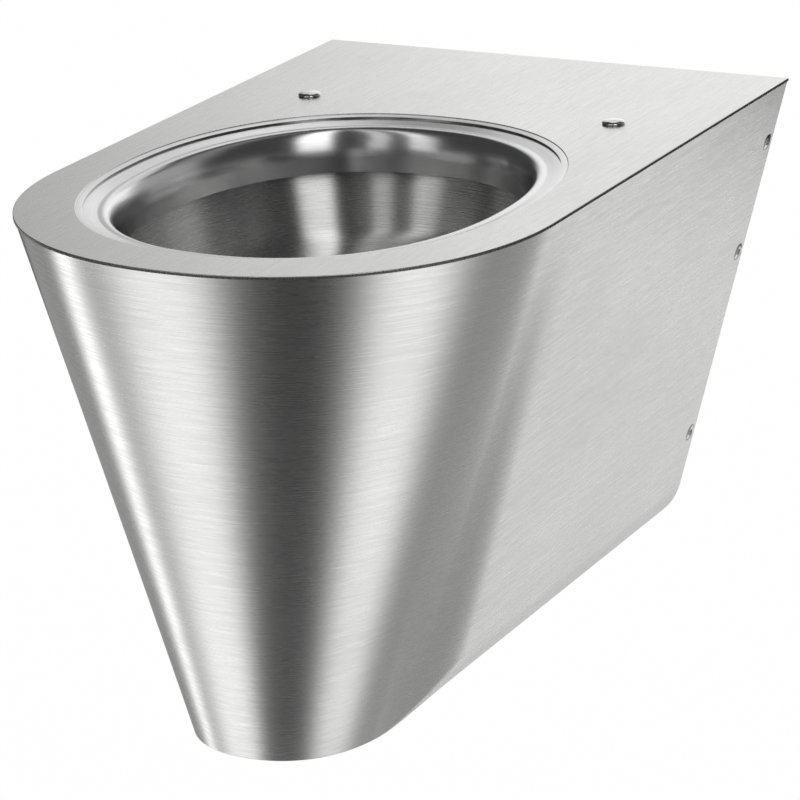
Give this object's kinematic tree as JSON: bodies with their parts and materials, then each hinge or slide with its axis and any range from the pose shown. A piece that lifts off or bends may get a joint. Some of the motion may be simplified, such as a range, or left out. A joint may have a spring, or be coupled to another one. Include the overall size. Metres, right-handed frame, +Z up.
{
  "type": "wall-hung toilet pan",
  "caption": "Wall-hung toilet pan of bent satin stainless steel, with an oval bowl, a polished rim, a conical front, leaning sides and a wall plate behind.",
  "frame": {"origin": "on the wall's surface, midway between the two wall studs", "axes": "+Z up, the wall is the plane y = 0 and the pan reaches towards -Y, +X to the right seen from the room"},
  "size_m": [0.36, 0.55, 0.3482],
  "materials": {
    "satin_steel": "satin, brushed along the sheet",
    "polished_steel": "polished",
    "bowl_steel": "fine satin, brushed round the wall",
    "raw_steel": "mill finish, dull",
    "fixing_steel": "plain stainless fixings",
    "seal_rubber": "matt black rubber",
    "washer_rubber": "matt black rubber"
  },
  "bodies": {
    "root": {"top_plate": "satin_steel", "bowl_rim": "polished_steel", "bowl": "bowl_steel", "sump": "bowl_steel", "skirt": "satin_steel", "bottom_plate": "satin_steel", "trap_mouth": "raw_steel", "trap_bend": "raw_steel", "trap_riser": "raw_steel", "trap_crown": "raw_steel", "trap_tail": "raw_steel", "outlet_spigot": "raw_steel", "flush_box": "raw_steel", "flush_socket": "raw_steel", "flush_seal": "seal_rubber", "flush_spreader": "raw_steel", "wall_plate": "raw_steel", "wall_washers": "fixing_steel", "wall_nuts": "fixing_steel", "hanging_rail": "raw_steel", "side_screws": "fixing_steel", "weld_nuts": "fixing_steel", "hole_stoppers": "polished_steel", "stopper_washers": "washer_rubber", "stopper_nuts": "fixing_steel", "seat_hole_plates": "raw_steel", "left_gusset": "raw_steel", "right_gusset": "raw_steel", "nose_rib": "raw_steel", "sump_saddle": "raw_steel", "spigot_saddle": "raw_steel", "earth_tab": "raw_steel", "earth_screw": "fixing_steel", "earth_nut": "fixing_steel"}
  },
  "joints": []
}
